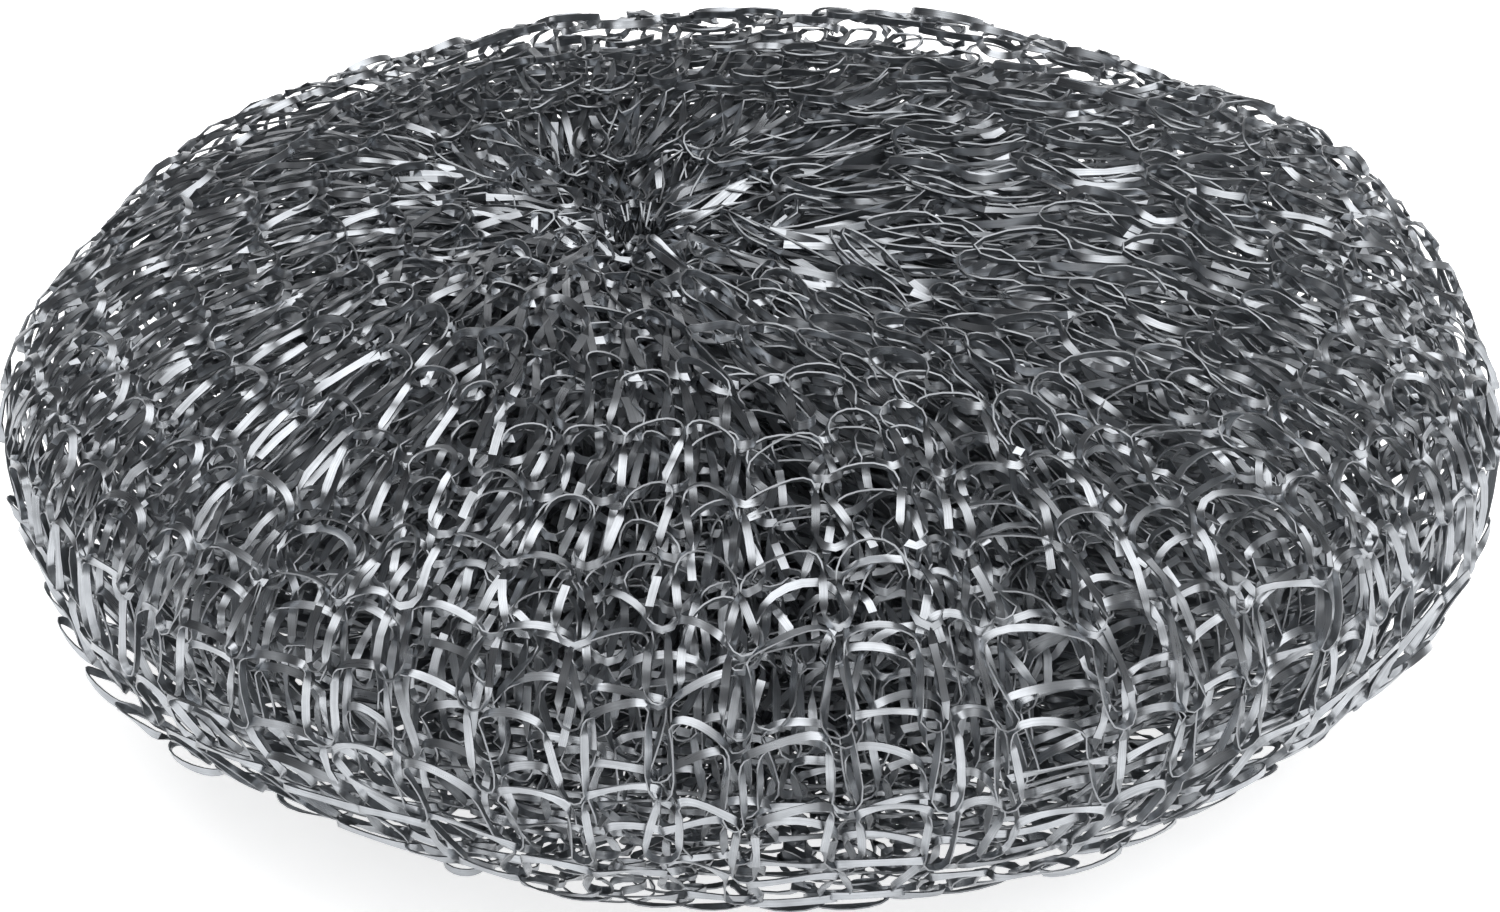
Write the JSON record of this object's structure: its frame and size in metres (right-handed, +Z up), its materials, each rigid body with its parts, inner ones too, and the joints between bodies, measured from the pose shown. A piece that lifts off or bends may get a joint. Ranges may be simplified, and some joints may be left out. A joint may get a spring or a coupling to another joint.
{
  "type": "metal scourer",
  "caption": "Round bun of knitted flat steel ribbon wire, gathered at the middle of its dished top, for scouring pots and pans.",
  "frame": {"origin": "middle of the pad's resting face, where it stands on a worktop", "axes": "+Z up out of the gathered top, +X to the right and +Y away from the viewer in the picture's view"},
  "size_m": [0.11, 0.11, 0.0415],
  "materials": {
    "galvanised_wire": "bright galvanised flat ribbon wire, slightly blue grey, glossy flats with fine drawn lines"
  },
  "bodies": {
    "root": {"knitted_pad": "galvanised_wire"}
  },
  "joints": []
}
